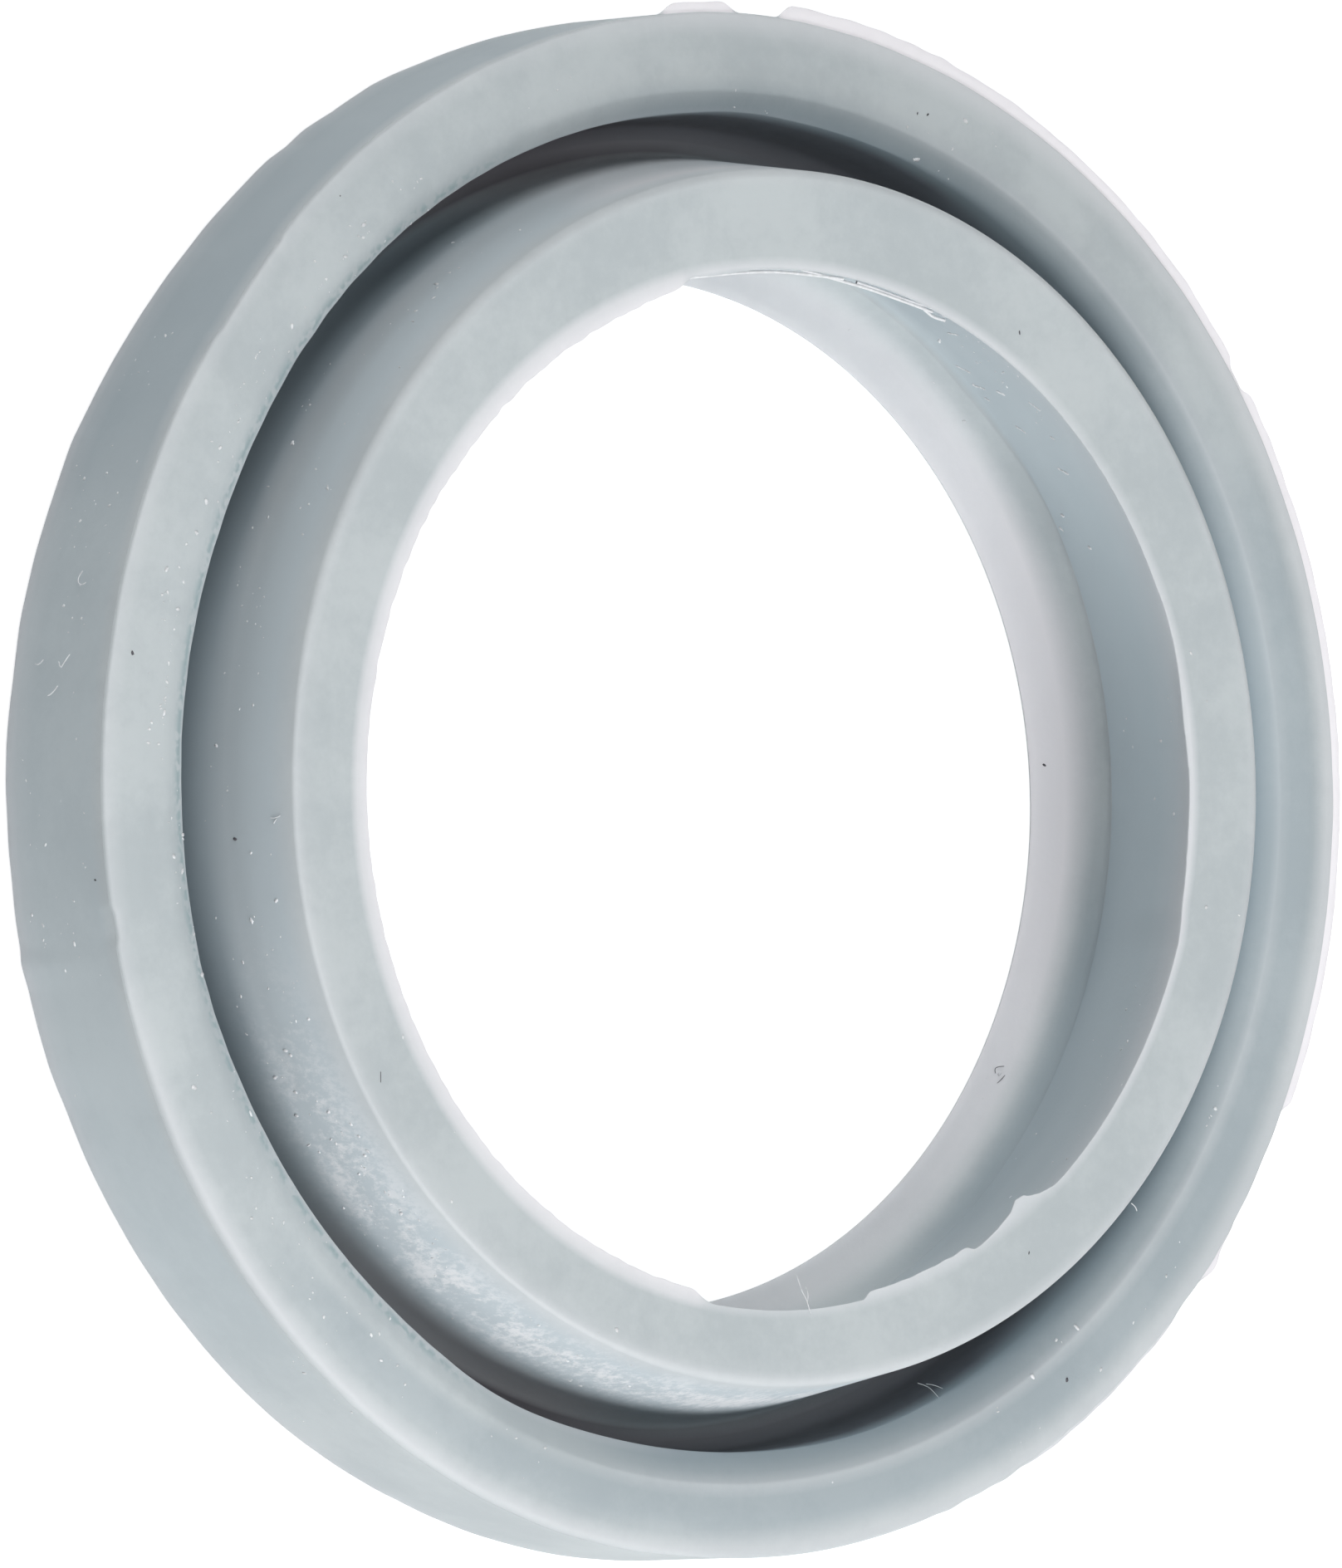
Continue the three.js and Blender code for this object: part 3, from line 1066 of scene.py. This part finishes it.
class SEAL_OT_fibres(bpy.types.Operator):
    """Lays the fine stray fibres on the ring"""

    bl_idname = "seal.fibres"
    bl_label = "Stray fibres"

    # Each fibre is a row of points: angle, radius and height in millimetres
    PALE_FIBRES = (
        (
            (271.0, 21.9, 10.83), (270.7, 21.6, 10.86), (270.4, 21.3, 10.9), (270.1, 20.9, 10.7),
            (269.8, 20.3, 10.6),
        ),
        ((270.6, 21.4, 10.86), (270.9, 21.1, 10.85), (270.8, 20.8, 10.7)),
        ((162.0, 32.03, 4.1), (162.6, 32.1, 3.9), (163.2, 32.05, 4.2), (162.9, 32.03, 4.5)),
        ((168.3, 32.03, 4.2), (168.9, 32.12, 4.0), (169.4, 32.06, 3.7), (168.8, 32.03, 3.5)),
        ((170.6, 32.03, 3.6), (171.2, 32.1, 3.4), (171.3, 32.04, 3.0)),
        ((168.6, 32.03, 2.4), (169.1, 32.08, 2.2), (168.9, 32.04, 1.9)),
        ((181.0, 25.22, 9.95), (181.3, 25.3, 9.7), (181.2, 25.3, 9.4)),
        ((181.3, 25.26, 9.72), (181.7, 25.28, 9.55)),
        ((314.0, 25.0, 10.84), (314.2, 25.3, 10.83), (314.1, 25.5, 10.7)),
    )
    TORN_STRANDS = (
        (
            (101, 21.44, 10.62), (96, 21.28, 10.56), (90, 21.25, 10.55), (85, 21.25, 10.54),
            (78, 21.3, 10.55),
        ),
        (
            (84, 21.4, 10.6), (79, 21.22, 10.5), (75, 21.2, 10.48), (71, 21.2, 10.5),
            (65, 21.36, 10.52),
        ),
        ((76, 21.32, 10.5), (72, 21.3, 10.48), (69, 21.32, 10.5), (66, 21.45, 10.55)),
        ((66, 21.34, 10.4), (65, 21.26, 10.35), (63.8, 21.27, 10.3), (62.6, 21.4, 10.3)),
    )
    FINE_FIBRES = (
        ((290.0, 26.7, 6.5), (290.6, 26.9, 6.6), (291.2, 27.3, 6.6), (291.5, 27.7, 6.6)),
        ((290.8, 26.9, 6.5), (291.4, 27.0, 6.6), (292.2, 27.4, 6.6)),
    )
    DARK_FIBRES = (
        ((327.4, 22.55, 0.42), (327.0, 22.3, 0.38), (326.5, 22.2, 0.36), (326.2, 22.35, 0.38)),
        ((326.6, 22.75, 0.46), (326.0, 22.7, 0.45), (325.4, 22.6, 0.43)),
        ((207.6, 23.98, 10.81), (208.0, 24.08, 10.82), (208.5, 24.2, 10.81)),
    )

    def execute(self, context):
        finish = context.scene.seal_finish
        kinds = (
            ("pale_fibres", self.PALE_FIBRES, 0.022, finish.dust, 0.8),
            ("torn_strands", self.TORN_STRANDS, 0.07, finish.dust, 0.9),
            ("fine_fibres", self.FINE_FIBRES, 0.012, finish.silicone, 0.8),
            ("dark_fibres", self.DARK_FIBRES, 0.014, finish.grime_and_groove_shade, 0.6),
        )
        for name, fibres, thickness, tint, darker in kinds:
            paths = [[self.point(*point) for point in fibre] for fibre in fibres]
            mesh = fibres_mesh(name, paths, thickness * MM)
            belong(show(mesh), crumb_material(name, tint, darker))
        return {"FINISHED"}

    def point(self, angle, radius, height):
        turn = Matrix.Rotation(math.radians(angle), 3, "Z")
        return turn @ Vector((radius * MM, 0.0, height * MM))


class SEAL_OT_stage(bpy.types.Operator):
    """Lays the pale floor and sets the soft light and the camera"""

    bl_idname = "seal.stage"
    bl_label = "Floor, light and camera"

    def execute(self, context):
        stage = context.scene.seal_stage
        self.floor(stage)
        self.lights(context, stage)
        self.camera(context, stage)
        return {"FINISHED"}

    def floor(self, stage):
        half = stage.floor_size / 2
        level = CAD_LOW.z - FLOOR_GAP
        corners = [(-half, -half), (half, -half), (half, half), (-half, half)]
        mesh = bpy.data.meshes.new("floor")
        mesh.from_pydata([(x, y, level) for x, y in corners], [], [(0, 1, 2, 3)])
        floor = show(mesh)
        floor.data.materials.append(floor_material())

    def lights(self, context, stage):
        softbox("key_softbox", stage.key_turn, stage.key_rise, size=0.7, power=stage.key_light)
        softbox("far_softbox", stage.far_turn, stage.far_rise, size=0.6, power=stage.far_light)
        top_turn, top_rise = math.radians(180), math.radians(78)
        softbox("top_softbox", top_turn, top_rise, size=0.5, power=stage.top_light)
        right_turn, right_rise = math.radians(350), math.radians(30)
        softbox("right_softbox", right_turn, right_rise, size=0.5, power=stage.right_light)
        context.scene.world = surround(stage.sky)

    def camera(self, context, stage):
        """The photograph's camera, far away and 37 degrees off the ring's axis."""
        tilt, roll = math.radians(37.117), math.radians(2.274)
        across, along = math.cos(tilt), math.sin(tilt)
        right = Vector((across * math.cos(roll), -math.sin(roll), along * math.cos(roll)))
        up = Vector((across * math.sin(roll), math.cos(roll), along * math.sin(roll)))
        back = Vector((-along, 0.0, across))
        pixels_per_mm = 29.07
        frame_height = 1888
        lip_middle = Vector((0.0, 0.0, 7.0 * MM))
        left_shift, up_shift = 2.288, 0.119
        aim = lip_middle - right * left_shift * MM + up * up_shift * MM
        place = aim + back * stage.distance
        data = bpy.data.cameras.new("camera")
        data.sensor_width = 36.0
        data.lens = pixels_per_mm / MM * stage.distance * data.sensor_width / frame_height
        data.clip_start, data.clip_end = 0.1, 20.0
        camera = show(data)
        axes = Matrix((right, up, back)).transposed()
        camera.matrix_world = Matrix.Translation(place) @ axes.to_4x4()
        context.scene.camera = camera
        context.scene.view_settings.view_transform = "Standard"


def softbox(name, turn, rise, size, power):
    """A square soft light that faces the ring from a metre away."""
    distance = 1.0
    data = bpy.data.lights.new(name, "AREA")
    data.shape = "SQUARE"
    data.size = size
    data.energy = power
    lamp = show(data)
    level = math.cos(rise)
    towards = Vector((level * math.cos(turn), level * math.sin(turn), math.sin(rise)))
    lamp.location = towards * distance
    lamp.rotation_mode = "QUATERNION"
    lamp.rotation_quaternion = (-towards).to_track_quat("-Z", "Y")


class SEAL_PT_panel(bpy.types.Panel):
    """Lists the seal's operators and sizes"""

    bl_idname = "SEAL_PT_panel"
    bl_label = "Flush valve seal"
    bl_space_type = "VIEW_3D"
    bl_region_type = "UI"
    bl_category = "Seal"

    def draw(self, context):
        layout = self.layout
        for operator in OPERATORS:
            layout.operator(operator.bl_idname)
        for group in GROUPS:
            for name in GROUPS[group].__annotations__:
                layout.prop(getattr(context.scene, group), name)


OPERATORS = (SEAL_OT_ring, SEAL_OT_specks, SEAL_OT_fibres, SEAL_OT_stage)
GROUPS = {"seal_sizes": SealRingSizes, "seal_finish": SealRingFinish, "seal_stage": SealStage}


def register():
    for kind in (*GROUPS.values(), *OPERATORS, SEAL_PT_panel):
        bpy.utils.register_class(kind)
    for name, kind in GROUPS.items():
        setattr(bpy.types.Scene, name, bpy.props.PointerProperty(type=kind))


def unregister():
    for name in GROUPS:
        delattr(bpy.types.Scene, name)
    for kind in reversed((*GROUPS.values(), *OPERATORS, SEAL_PT_panel)):
        bpy.utils.unregister_class(kind)


def main():
    register()
    bpy.ops.seal.ring()
    bpy.ops.seal.specks()
    bpy.ops.seal.fibres()
    bpy.ops.seal.stage()


if __name__ == "__main__":
    main()
